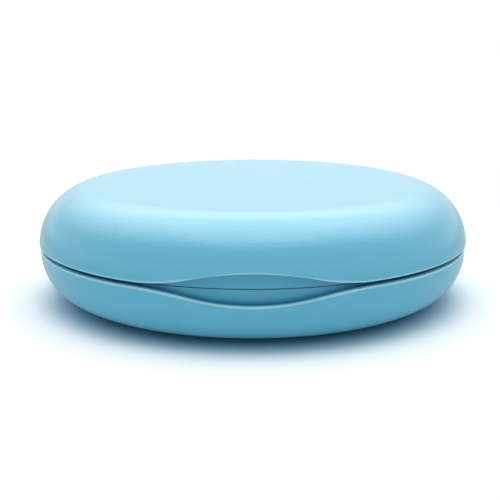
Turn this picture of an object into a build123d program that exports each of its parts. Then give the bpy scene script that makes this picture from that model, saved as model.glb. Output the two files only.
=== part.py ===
from build123d import *
import math
import os

# A round, flat-topped clamshell case for a set of clear aligners. Each half is a bowl with a
# double wall: an outer shell that shows, and a liner inside it that carries the hinge and magnets.
# Sizes are in millimetres. The origin is the centre of the underside, the finger scoop faces -Y,
# the hinge is at +Y, and +Z is up.

# Outside form of the closed case
case_radius = 43.0
base_rim_step = 0.2
base_depth = 11.4
lid_depth = 11.45
base_side_width = 15.3
lid_side_width = 11.4

# Reach of the two handles of the side curve, as a share of its width and height.
# 0.552 would be a quarter of an ellipse, and a larger value is squarer.
base_fullness = 0.68
lid_fullness = 0.565

# Groove between the outer shells, and the rounded lips beside it
seam_gap = 0.8
lip_radius = 0.3

# Finger scoop at the front: a dip in the rim of each outer shell
base_scoop_half_width = 21.5
base_scoop_depth = 2.3
lid_scoop_half_width = 21.0
lid_scoop_depth = 2.5
scoop_arc_share = 0.53

# Walls. The liner stands clear of its shell at the side and lies close to it at the floor.
shell_wall = 1.1
shell_floor = 1.5
wall_gap = 0.7
floor_gap = 0.1
liner_wall = 1.1
liner_gap = 0.15

# Snap beads that hold each liner in its shell
bead_reach = 0.35
bead_clearance = 0.15
bead_height_share = 0.75
bead_arc = 16
bead_count = 6

# Foot ring on the underside
foot_ring_inner_radius = 22.0
foot_ring_height = 0.5

# Hinge: five knuckles on one pin, three on the base and two on the lid
barrel_radius = 1.8
barrel_clearance = 0.3
pin_radius = 0.8
pin_press_gap = 0.02
pin_running_gap = 0.06
pin_end_inset = 0.3
knuckle_count = 5
knuckle_gap = 0.3
knuckle_rounding = 0.25
notch_half_height = 2.7
notch_corner_radius = 0.6
notch_side_relief = 0.2
hinge_block_wall = 1.3
hinge_block_side = 1.4
hinge_block_corner_radius = 1.2

# Magnets that hold the case shut
magnet_radius = 2.0
magnet_thickness = 1.5
magnet_clearance = 0.05
magnet_boss_wall = 1.3
magnet_angle = 38

# Ribs that keep the aligners off the tray floor
rib_count = 8
rib_inner_radius = 9.0
rib_outer_radius = 24.0
rib_width = 1.6
rib_height = 0.6

# Mirror in the lid
mirror_radius = 27.0
mirror_thickness = 1.2
mirror_edge_clearance = 0.2
mirror_chamfer = 0.2
adhesive_thickness = 0.2
adhesive_margin = 1.5
mirror_frame_wall = 1.4
mirror_frame_lip = 0.3

# Sizes that follow from the ones above
base_rim_radius = case_radius - base_rim_step
base_flat_radius = base_rim_radius - base_side_width
lid_flat_radius = case_radius - lid_side_width
liner_radius = base_rim_radius - shell_wall - wall_gap
pocket_radius = liner_radius + wall_gap
bead_radius = wall_gap + bead_reach
hinge_y = case_radius - barrel_radius
notch_front_y = hinge_y - barrel_radius - barrel_clearance
notch_half_width = math.sqrt(case_radius**2 - hinge_y**2) + notch_side_relief
hinge_half_width = notch_half_width - knuckle_gap
knuckle_width = (2 * hinge_half_width - (knuckle_count - 1) * knuckle_gap) / knuckle_count
magnet_ring_radius = liner_radius - liner_wall - magnet_radius
magnet_boss_radius = magnet_radius + magnet_boss_wall
reach = 2 * case_radius

# Both halves are drawn as bowls that open upwards, with the parting plane at z = 0.
# The base is then lifted by its depth, and the lid is turned over on top of it.


def side_curve(rim_radius, flat_radius, depth, fullness):
    # From the edge of the flat bottom, level, to the rim, upright
    width = rim_radius - flat_radius
    return Bezier(
        (flat_radius, 0, -depth),
        (flat_radius + fullness * width, 0, -depth),
        (rim_radius, 0, -fullness * depth),
        (rim_radius, 0, 0),
    )


def bowl(rim_radius, flat_radius, depth, fullness):
    outline = [
        Line((0, 0, -depth), (flat_radius, 0, -depth)),
        side_curve(rim_radius, flat_radius, depth, fullness),
        Line((rim_radius, 0, 0), (0, 0, 0)),
        Line((0, 0, 0), (0, 0, -depth)),
    ]
    return revolve(make_face(outline), axis=Axis.Z)


def liner_depth(depth):
    # From the parting plane to the underside of a liner
    return depth - shell_floor - floor_gap


def floor_depth(depth):
    # From the parting plane to the inside floor of a liner
    return liner_depth(depth) - liner_wall


def rim_trim(gap):
    # Everything above the rim, which stands half the gap below the parting plane
    return Pos(0, 0, -gap / 2) * Box(reach, reach, gap, align=(Align.CENTER, Align.CENTER, Align.MIN))


def finger_scoop(half_width, depth):
    # A wide arc in the middle runs out into the level rim by a reversed arc at each end
    turn = 2 * math.atan(depth / half_width)
    middle_half = scoop_arc_share * half_width
    middle_radius = middle_half / math.sin(turn)
    rim_z = -seam_gap / 2
    low_z = rim_z - depth
    change_z = low_z + middle_radius * (1 - math.cos(turn))
    outline = [
        ThreePointArc((-middle_half, 0, change_z), (0, 0, low_z), (middle_half, 0, change_z)),
        TangentArc(
            (middle_half, 0, change_z),
            (half_width, 0, rim_z),
            tangent=(math.cos(turn), 0, math.sin(turn)),
        ),
        Polyline(
            (half_width, 0, rim_z),
            (half_width, 0, seam_gap),
            (-half_width, 0, seam_gap),
            (-half_width, 0, rim_z),
        ),
        TangentArc(
            (-middle_half, 0, change_z),
            (-half_width, 0, rim_z),
            tangent=(-math.cos(turn), 0, math.sin(turn)),
        ),
    ]
    return extrude(make_face(outline), amount=reach, dir=(0, -1, 0))


def hinge_notch():
    # Room for the barrel, open to the back
    opening = Plane.XZ * RectangleRounded(
        2 * notch_half_width, 2 * notch_half_height, notch_corner_radius
    )
    return Pos(0, notch_front_y, 0) * extrude(opening, amount=reach, dir=(0, 1, 0))


def snap_ring(flat_radius, depth, fullness, radius, arc):
    # A bead, or its groove, centred on the outside of the liner
    wall_line = side_curve(liner_radius, flat_radius, liner_depth(depth), fullness)
    section = Plane.XZ * Circle(radius)
    centre = wall_line @ bead_height_share
    return revolve(Pos(centre.X, 0, centre.Z) * section, axis=Axis.Z, revolution_arc=arc)


def outer_shell(rim_radius, flat_radius, depth, fullness, scoop_half_width, scoop_depth):
    shell = bowl(rim_radius, flat_radius, depth, fullness)
    shell -= bowl(pocket_radius, flat_radius, depth - shell_floor, fullness)
    shell -= rim_trim(seam_gap)
    shell -= finger_scoop(scoop_half_width, scoop_depth)
    lowest_lip = -seam_gap / 2 - scoop_depth - lip_radius / 2
    middle_of_wall = (rim_radius + pocket_radius) / 2
    lips = [
        edge
        for edge in shell.edges()
        if edge.position_at(0.5).Z > lowest_lip
        and math.hypot(edge.position_at(0.5).X, edge.position_at(0.5).Y) > middle_of_wall
    ]
    shell = fillet(lips, lip_radius)
    shell -= snap_ring(flat_radius, depth, fullness, bead_radius + bead_clearance, 360)
    return shell - hinge_notch()


def hinge_block(depth):
    # The straight stretch of liner wall in front of the barrel
    width = 2 * (notch_half_width + hinge_block_side)
    front_y = notch_front_y - hinge_block_wall
    block = Pos(0, front_y, 0) * Box(
        width, reach, depth, align=(Align.CENTER, Align.MIN, Align.MAX)
    )
    return fillet(block.edges().filter_by(Axis.Z), hinge_block_corner_radius)


def knuckle(place):
    # One length of barrel with the arm that joins it to the hinge block
    arm_height = barrel_radius - liner_gap / 2
    arm_length = hinge_y - notch_front_y + hinge_block_wall / 2
    x = -hinge_half_width + knuckle_width / 2 + place * (knuckle_width + knuckle_gap)
    barrel = Rot(0, 90, 0) * Cylinder(barrel_radius, knuckle_width)
    barrel = fillet(barrel.edges().filter_by(GeomType.CIRCLE), knuckle_rounding)
    arm = Pos(0, 0, -barrel_radius) * Box(
        knuckle_width, arm_length, arm_height, align=(Align.CENTER, Align.MAX, Align.MIN)
    )
    return Pos(x, hinge_y, 0) * (barrel + arm)


def pin_bore(gap):
    return Pos(0, hinge_y, 0) * Rot(0, 90, 0) * Cylinder(pin_radius + gap, reach)


def magnet_places():
    for angle in (-90 - magnet_angle, -90 + magnet_angle):
        yield Rot(0, 0, angle) * Pos(magnet_ring_radius, 0, -liner_gap / 2)


def liner(flat_radius, depth, fullness, knuckle_places, bore_gap, fittings):
    outside = bowl(liner_radius, flat_radius, liner_depth(depth), fullness)
    body = outside - bowl(liner_radius - liner_wall, flat_radius, floor_depth(depth), fullness)
    body += hinge_block(depth) & outside
    for place in magnet_places():
        body += (place * Cylinder(magnet_boss_radius, 2 * depth)) & outside
    for turn in range(bead_count):
        bead = snap_ring(flat_radius, depth, fullness, bead_radius, bead_arc)
        body += Rot(0, 0, turn * 360 / bead_count - bead_arc / 2) * bead
    body += fittings
    body -= rim_trim(liner_gap)
    body -= hinge_notch()
    for place in magnet_places():
        pocket = Cylinder(magnet_radius + magnet_clearance, 2 * (magnet_thickness + magnet_clearance))
        body -= place * pocket
    for place in knuckle_places:
        body += knuckle(place)
    return body - pin_bore(bore_gap)


def magnet(place):
    disc = Cylinder(
        magnet_radius, magnet_thickness, align=(Align.CENTER, Align.CENTER, Align.MAX)
    )
    return place * Pos(0, 0, -magnet_clearance) * disc


def drying_ribs():
    length = rib_outer_radius - rib_inner_radius
    rib = extrude(SlotOverall(length, rib_width), amount=rib_height + liner_wall / 2)
    bottom = -floor_depth(base_depth) - liner_wall / 2
    middle = (rib_inner_radius + rib_outer_radius) / 2
    ribs = [Rot(0, 0, 360 * turn / rib_count) * Pos(middle, 0, bottom) * rib for turn in range(rib_count)]
    return Part() + ribs


def mirror_frame():
    height = adhesive_thickness + mirror_thickness + mirror_frame_lip
    inner = mirror_radius + mirror_edge_clearance
    floor_z = -floor_depth(lid_depth)
    seat = (Align.CENTER, Align.CENTER, Align.MIN)
    ring = Pos(0, 0, floor_z - liner_wall / 2) * Cylinder(
        inner + mirror_frame_wall, height + liner_wall / 2, align=seat
    )
    return ring - Pos(0, 0, floor_z) * Cylinder(inner, height, align=seat)


def mirror_disc():
    seat = (Align.CENTER, Align.CENTER, Align.MIN)
    glass = Cylinder(mirror_radius, mirror_thickness, align=seat)
    glass = chamfer(glass.edges(), mirror_chamfer)
    return Pos(0, 0, -floor_depth(lid_depth) + adhesive_thickness) * glass


def adhesive_disc():
    seat = (Align.CENTER, Align.CENTER, Align.MIN)
    disc = Cylinder(mirror_radius - adhesive_margin, adhesive_thickness, align=seat)
    return Pos(0, 0, -floor_depth(lid_depth)) * disc


def base_shell():
    shell = outer_shell(
        base_rim_radius,
        base_flat_radius,
        base_depth,
        base_fullness,
        base_scoop_half_width,
        base_scoop_depth,
    )
    recess = Pos(0, 0, -base_depth) * Cylinder(foot_ring_inner_radius, 2 * foot_ring_height)
    return shell - recess


def lid_shell():
    return outer_shell(
        case_radius,
        lid_flat_radius,
        lid_depth,
        lid_fullness,
        lid_scoop_half_width,
        lid_scoop_depth,
    )


def base_tray():
    places = range(0, knuckle_count, 2)
    return liner(
        base_flat_radius, base_depth, base_fullness, places, pin_press_gap, drying_ribs()
    )


def lid_liner():
    places = range(1, knuckle_count, 2)
    return liner(lid_flat_radius, lid_depth, lid_fullness, places, pin_running_gap, mirror_frame())


def hinge_pin():
    return Pos(0, hinge_y, 0) * Rot(0, 90, 0) * Cylinder(pin_radius, 2 * (hinge_half_width - pin_end_inset))


def write(name, shape):
    export_step(shape, f"parts/{name}.step")


def in_base(shape):
    return Pos(0, 0, base_depth) * shape


def in_lid(shape):
    return Pos(0, 0, base_depth) * mirror(shape, about=Plane.XY)


write("base_shell", in_base(base_shell()))
write("base_tray", in_base(base_tray()))
write("lid_shell", in_lid(lid_shell()))
write("lid_liner", in_lid(lid_liner()))
write("hinge_pin", in_base(hinge_pin()))
write("mirror_glass", in_lid(mirror_disc()))
write("mirror_adhesive", in_lid(adhesive_disc()))
for side, place in zip(("left", "right"), magnet_places()):
    write(f"base_magnet_{side}", in_base(magnet(place)))
    write(f"lid_magnet_{side}", in_lid(magnet(place)))
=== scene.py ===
import math

import bmesh
import bpy
from mathutils import Euler, Matrix, Vector

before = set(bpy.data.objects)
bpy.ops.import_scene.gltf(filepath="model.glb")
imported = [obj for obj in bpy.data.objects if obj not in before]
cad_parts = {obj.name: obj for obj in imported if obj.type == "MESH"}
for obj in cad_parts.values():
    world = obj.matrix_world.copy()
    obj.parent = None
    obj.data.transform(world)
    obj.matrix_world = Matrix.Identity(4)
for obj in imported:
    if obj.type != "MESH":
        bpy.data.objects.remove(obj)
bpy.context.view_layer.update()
print("frame loaded:", len(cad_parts), "nodes")

# Lengths are in metres, angles in degrees, and colours are linear
white = (1.0, 1.0, 1.0, 1.0)


# One output socket, with the operators that shader maths needs
class Value:
    def __init__(self, sheet, socket):
        self.sheet = sheet
        self.socket = socket

    def math(self, operation, *others):
        inputs = dict(enumerate((self,) + others))
        return self.sheet.add("ShaderNodeMath", {"operation": operation}, inputs)

    def __add__(self, other):
        return self.math("ADD", other)

    def __radd__(self, other):
        return self.math("ADD", other)

    def __sub__(self, other):
        return self.math("SUBTRACT", other)

    def __rsub__(self, other):
        return self.sheet.add("ShaderNodeMath", {"operation": "SUBTRACT"}, {0: other, 1: self})

    def __mul__(self, other):
        return self.math("MULTIPLY", other)

    def __truediv__(self, other):
        return self.math("DIVIDE", other)

    def between(self, low, high):
        # 0 below low, 1 above high, smooth in the middle
        return self.sheet.add(
            "ShaderNodeMapRange",
            {"interpolation_type": "SMOOTHSTEP"},
            {"Value": self, "From Min": low, "From Max": high, "To Min": 0.0, "To Max": 1.0},
        )

    def past(self, middle, softness):
        # 0 below middle, 1 above it, smooth over the softness on each side
        return self.between(middle - softness, middle + softness)

    def spread(self, low, high):
        # a 0 to 1 value stretched to run from low to high
        return self * (high - low) + low


# The nodes of one material
class Sheet:
    def __init__(self, tree):
        self.tree = tree
        self.tree.nodes.clear()

    def put(self, socket, value):
        if isinstance(value, Value):
            self.tree.links.new(value.socket, socket)
        else:
            socket.default_value = value

    def add(self, kind, settings=None, inputs=None, output=0):
        node = self.tree.nodes.new(kind)
        for name, setting in (settings or {}).items():
            setattr(node, name, setting)
        for name, value in (inputs or {}).items():
            self.put(node.inputs[name], value)
        return Value(self, node.outputs[output])

    def objectPlace(self):
        return self.add("ShaderNodeTexCoord", output="Object")

    def split(self, place):
        node = self.tree.nodes.new("ShaderNodeSeparateXYZ")
        self.put(node.inputs[0], place)
        return [Value(self, output) for output in node.outputs]

    def radius(self, place):
        # distance from the upright axis of the case
        x, y, _ = self.split(place)
        return (x * x + y * y).math("SQRT")

    def noise(self, place, scale, detail):
        return self.add(
            "ShaderNodeTexNoise",
            {"noise_dimensions": "3D"},
            {"Vector": place, "Scale": scale, "Detail": detail},
        )

    def mixColours(self, factor, first, second):
        return self.add(
            "ShaderNodeMix",
            {"data_type": "RGBA"},
            {0: factor, 6: first, 7: second},
            output=2,
        )

    def bump(self, height, distance, normal=None):
        inputs = {"Height": height, "Distance": distance}
        if normal:
            inputs["Normal"] = normal
        return self.add("ShaderNodeBump", None, inputs)

    def finish(self, shader, kind="ShaderNodeOutputMaterial"):
        self.put(self.tree.nodes.new(kind).inputs["Surface"], shader)


def newMaterial(name):
    material = bpy.data.materials.new(name)
    material.use_nodes = True
    return material, Sheet(material.node_tree)


def dress(material, *nodes):
    for node in nodes:
        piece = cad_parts[node]
        piece.data.materials.clear()
        piece.data.materials.append(material)


# The closed case fills most of the picture's width, seen from the front and a little above
camera = {
    "distance": 0.215,
    "elevation": 12.3,
    "aimHeight": 0.0114,
    "lowerAim": 0.70,
    "turn": 0.15,
    "roll": -0.16,
    "lens": 75.3,
    "sensorWidth": 36.0,
}


def placeCamera():
    settings = bpy.data.cameras.new("photoCamera")
    settings.lens = camera["lens"]
    settings.sensor_width = camera["sensorWidth"]
    eye = bpy.data.objects.new("photoCamera", settings)
    bpy.context.scene.collection.objects.link(eye)
    up = math.radians(camera["elevation"])
    eye.location = (
        0.0,
        -camera["distance"] * math.cos(up),
        camera["aimHeight"] + camera["distance"] * math.sin(up),
    )
    tilt = math.radians(90 - camera["elevation"] - camera["lowerAim"])
    level = Euler((tilt, 0.0, math.radians(camera["turn"]))).to_matrix()
    roll = Matrix.Rotation(math.radians(camera["roll"]), 3, "Z")
    eye.rotation_euler = (level @ roll).to_euler()
    bpy.context.scene.camera = eye


placeCamera()
print("camera placed")


# White table and room. Close under the case the table carries a painted shadow, a dark blue
# tint, and it fades to plain white far from it. The ceiling, bright overhead and toward the
# back, shows in reflections only.
room = {
    "floorHalf": 2.0,
    "floorSegments": 8,
    "floorBounce": (0.95, 0.95, 0.95, 1.0),
    "shadeFrom": 0.033,
    "shadeTo": 0.046,
    "floorInShade": (0.24, 0.42, 0.55, 1.0),
    "floorInOpen": (1.42, 1.41, 1.41, 1.0),
    "fadeFrom": 0.060,
    "fadeTo": 0.13,
    "roomLight": 0.51,
    "reflected": 1.16,
    "ceiling": 4.6,
    "ceilingFrom": 0.52,
    "ceilingTo": 1.06,
    "ceilingLean": 0.38,
}


def floorMaterial():
    material, sheet = newMaterial("whiteTable")
    seen = sheet.add("ShaderNodeLightPath", output="Is Camera Ray")
    place = sheet.objectPlace()
    away = sheet.add(
        "ShaderNodeVectorMath", {"operation": "LENGTH"}, {0: place}, output="Value"
    )
    fade = away.between(room["fadeFrom"], room["fadeTo"])
    # painted shadow: close under the case the table's seen colour is dark and blue, and it
    # lightens outward
    inOpen = away.between(room["shadeFrom"], room["shadeTo"])
    paintedShadowColour = sheet.mixColours(inOpen, room["floorInShade"], room["floorInOpen"])
    colour = sheet.mixColours(seen, room["floorBounce"], paintedShadowColour)
    matt = sheet.add("ShaderNodeBsdfDiffuse", None, {"Color": colour})
    plain = sheet.add("ShaderNodeEmission", None, {"Color": white})
    sheet.finish(sheet.add("ShaderNodeMixShader", None, {0: seen * fade, 1: matt, 2: plain}))
    return material


def layFloor():
    shape = bmesh.new()
    segments = room["floorSegments"]
    bmesh.ops.create_grid(
        shape, x_segments=segments, y_segments=segments, size=room["floorHalf"]
    )
    mesh = bpy.data.meshes.new("table")
    shape.to_mesh(mesh)
    shape.free()
    table = bpy.data.objects.new("table", mesh)
    bpy.context.scene.collection.objects.link(table)
    mesh.materials.append(floorMaterial())


def lightRoom():
    world = bpy.data.worlds.new("whiteRoom")
    bpy.context.scene.world = world
    world.use_nodes = True
    sheet = Sheet(world.node_tree)
    seen = sheet.add("ShaderNodeLightPath", output="Is Camera Ray")
    mirrored = sheet.add("ShaderNodeLightPath", output="Is Glossy Ray")
    through = sheet.add("ShaderNodeLightPath", output="Is Transmission Ray")
    lighting = {"Color": white, "Strength": room["roomLight"]}
    plain = sheet.add("ShaderNodeBackground", None, lighting)
    _, y, z = sheet.split(sheet.add("ShaderNodeTexCoord", output="Generated"))
    overhead = z + y * room["ceilingLean"]
    ceiling = overhead.between(room["ceilingFrom"], room["ceilingTo"])
    shown = room["reflected"] + ceiling * (room["ceiling"] - room["reflected"]) * mirrored
    bright = sheet.add("ShaderNodeBackground", None, {"Color": white, "Strength": shown})
    either = seen.math("MAXIMUM", mirrored).math("MAXIMUM", through)
    mixed = sheet.add("ShaderNodeMixShader", None, {0: either, 1: plain, 2: bright})
    sheet.finish(mixed, "ShaderNodeOutputWorld")


# Soft lamps over the table, all turned to the middle of the case
lampAim = (0.0, 0.0, 0.01)
lamps = {
    "overhead": {"place": (0.0, 0.0, 0.50), "size": (0.40, 0.40), "power": 0.55},
    "left": {"place": (-0.35, 0.10, 0.40), "size": (0.30, 0.40), "power": 0.12},
    "right": {"place": (0.35, 0.10, 0.40), "size": (0.30, 0.40), "power": 0.18},
    "back": {"place": (0.0, 0.25, 0.42), "size": (0.60, 0.30), "power": 0.16},
}


def hangLamps():
    for name, lamp in lamps.items():
        light = bpy.data.lights.new(name, "AREA")
        light.shape = "RECTANGLE"
        light.size, light.size_y = lamp["size"]
        light.energy = lamp["power"]
        box = bpy.data.objects.new(name, light)
        bpy.context.scene.collection.objects.link(box)
        box.location = lamp["place"]
        toward = Vector(lampAim) - Vector(lamp["place"])
        box.rotation_euler = toward.to_track_quat("-Z", "Y").to_euler()


layFloor()
lightRoom()
hangLamps()
print("table, room and lamps ready")


# Pale blue moulded plastic with a fine satin grain
plastic = {
    "colour": (0.142, 0.608, 0.842, 1.0),
    "deeper": (0.134, 0.590, 0.822, 1.0),
    "roughness": (0.19, 0.25),
    "ior": 1.55,
    "grainScale": 1500.0,
    "grainDetail": 2.0,
    "grainDepth": 0.000032,
    "fineScale": 5200.0,
    "fineDetail": 1.0,
    "fineDepth": 0.000004,
    "cloudScale": 60.0,
    "cloudDetail": 3.0,
}

# A painted highlight: the lip that runs round the seam and through the finger scoop is painted
# paler, and it is also smoother.
# Side is the way from the parting plane into each shell, up or down.
lipHighlightSettings = {
    "colour": (0.40, 0.84, 0.97, 1.0),
    "height": 0.00034,
    "softness": 0.00016,
    "polish": 0.6,
    "partingHeight": 0.0114,
    "halfGap": 0.0004,
    "frontFade": 0.002,
    "radiusFrom": 0.0417,
    "radiusTo": 0.0421,
    "base_shell": {"side": -1, "halfWidth": 0.0215, "depth": 0.0023},
    "lid_shell": {"side": 1, "halfWidth": 0.0210, "depth": 0.0025},
}

# The liners are painted a shade deeper than the shells as painted shade for the recess, and
# painted much darker as painted shade where they close the bottom of the groove
linerPlasticPaintedShade = dict(
    plastic,
    colour=(0.092, 0.475, 0.700, 1.0),
    deeper=(0.086, 0.460, 0.680, 1.0),
    grainDepth=0.000006,
)
paintedGrooveShade = {
    "colour": (0.028, 0.23, 0.42, 1.0),
    "height": 0.0011,
    "softness": 0.0005,
    "scoopHalfWidth": 0.0165,
    "scoopFade": 0.004,
    "backFade": 0.002,
    "radiusFrom": 0.0400,
    "radiusTo": 0.0404,
}


def mouldedSurface(sheet, place, settings):
    # colour, roughness and normal of the plastic
    clouds = sheet.noise(place, settings["cloudScale"], settings["cloudDetail"])
    grain = sheet.noise(place, settings["grainScale"], settings["grainDetail"])
    fine = sheet.noise(place, settings["fineScale"], settings["fineDetail"])
    colour = sheet.mixColours(clouds, settings["colour"], settings["deeper"])
    coarse = sheet.bump(grain, settings["grainDepth"])
    normal = sheet.bump(fine, settings["fineDepth"], coarse)
    return colour, grain.spread(*settings["roughness"]), normal


def satinFinish(sheet, colour, roughness, normal):
    sheet.finish(sheet.add("ShaderNodeBsdfPrincipled", None, {
        "Base Color": colour,
        "Roughness": roughness,
        "IOR": plastic["ior"],
        "Normal": normal,
    }))


def shellMaterial(node):
    material, sheet = newMaterial("shellPlastic_" + node)
    place = sheet.objectPlace()
    x, y, z = sheet.split(place)
    colour, roughness, normal = mouldedSurface(sheet, place, plastic)
    scoop = lipHighlightSettings[node]
    front = (0 - y).between(0.0, lipHighlightSettings["frontFade"])
    dip = (1 - x.math("ABSOLUTE") / scoop["halfWidth"]).between(0.0, 1.0) * front
    rim = dip * scoop["depth"] + lipHighlightSettings["halfGap"]
    inward = (z - lipHighlightSettings["partingHeight"]) * scoop["side"] - rim
    outside = sheet.radius(place).between(lipHighlightSettings["radiusFrom"], lipHighlightSettings["radiusTo"])
    # painted highlight: a paler band on the outside of the shell along the seam lip and the
    # scoop's edge
    lipHighlightMask = (1 - inward.past(lipHighlightSettings["height"], lipHighlightSettings["softness"])) * outside
    satinFinish(
        sheet,
        sheet.mixColours(lipHighlightMask, colour, lipHighlightSettings["colour"]),
        roughness * (1 - lipHighlightMask * (1 - lipHighlightSettings["polish"])),
        normal,
    )
    return material


def linerMaterial():
    material, sheet = newMaterial("linerPlasticPaintedShade")
    place = sheet.objectPlace()
    x, y, z = sheet.split(place)
    colour, roughness, normal = mouldedSurface(sheet, place, linerPlasticPaintedShade)
    near = (z - lipHighlightSettings["partingHeight"]).math("ABSOLUTE")
    band = 1 - near.past(paintedGrooveShade["height"], paintedGrooveShade["softness"])
    beside = x.math("ABSOLUTE").past(paintedGrooveShade["scoopHalfWidth"], paintedGrooveShade["scoopFade"])
    beyondScoop = beside.math("MAXIMUM", y.between(0.0, paintedGrooveShade["backFade"]))
    outside = sheet.radius(place).between(paintedGrooveShade["radiusFrom"], paintedGrooveShade["radiusTo"])
    # painted shade: the liner's outside is darkened in a band at the groove, beside and behind
    # the scoop
    paintedGrooveShadeMask = band * beyondScoop * outside
    satinFinish(sheet, sheet.mixColours(paintedGrooveShadeMask, colour, paintedGrooveShade["colour"]), roughness, normal)
    return material


# Ground steel, nickel plating and the silvering of the mirror
metal = {
    "pinSteel": {
        "colour": (0.52, 0.52, 0.54, 1.0),
        "roughness": (0.22, 0.36),
        "scale": 900.0,
        "detail": 3.0,
    },
    "magnetNickel": {
        "colour": (0.40, 0.39, 0.38, 1.0),
        "roughness": (0.16, 0.28),
        "scale": 1500.0,
        "detail": 3.0,
    },
    "mirrorSilver": {
        "colour": (0.68, 0.71, 0.73, 1.0),
        "roughness": (0.02, 0.05),
        "scale": 120.0,
        "detail": 3.0,
    },
}


def metalMaterial(name):
    settings = metal[name]
    material, sheet = newMaterial(name)
    marks = sheet.noise(sheet.objectPlace(), settings["scale"], settings["detail"])
    sheet.finish(sheet.add("ShaderNodeBsdfPrincipled", None, {
        "Base Color": settings["colour"],
        "Metallic": 1.0,
        "Roughness": marks.spread(*settings["roughness"]),
    }))
    return material


# Foam tape behind the mirror
tape = {
    "colour": (0.80, 0.80, 0.77, 1.0),
    "roughness": (0.75, 0.95),
    "scale": 1800.0,
    "detail": 2.0,
    "depth": 0.00002,
}


def tapeMaterial():
    material, sheet = newMaterial("foamTape")
    cells = sheet.noise(sheet.objectPlace(), tape["scale"], tape["detail"])
    sheet.finish(sheet.add("ShaderNodeBsdfPrincipled", None, {
        "Base Color": tape["colour"],
        "Roughness": cells.spread(*tape["roughness"]),
        "Normal": sheet.bump(cells, tape["depth"]),
    }))
    return material


for node in ("base_shell", "lid_shell"):
    dress(shellMaterial(node), node)
dress(linerMaterial(), "base_tray", "lid_liner")
dress(metalMaterial("pinSteel"), "hinge_pin")
magnets = [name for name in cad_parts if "magnet" in name]
dress(metalMaterial("magnetNickel"), *magnets)
dress(metalMaterial("mirrorSilver"), "mirror_glass")
dress(tapeMaterial(), "mirror_adhesive")
print("finishes on")


bpy.context.scene.view_settings.view_transform = "Standard"
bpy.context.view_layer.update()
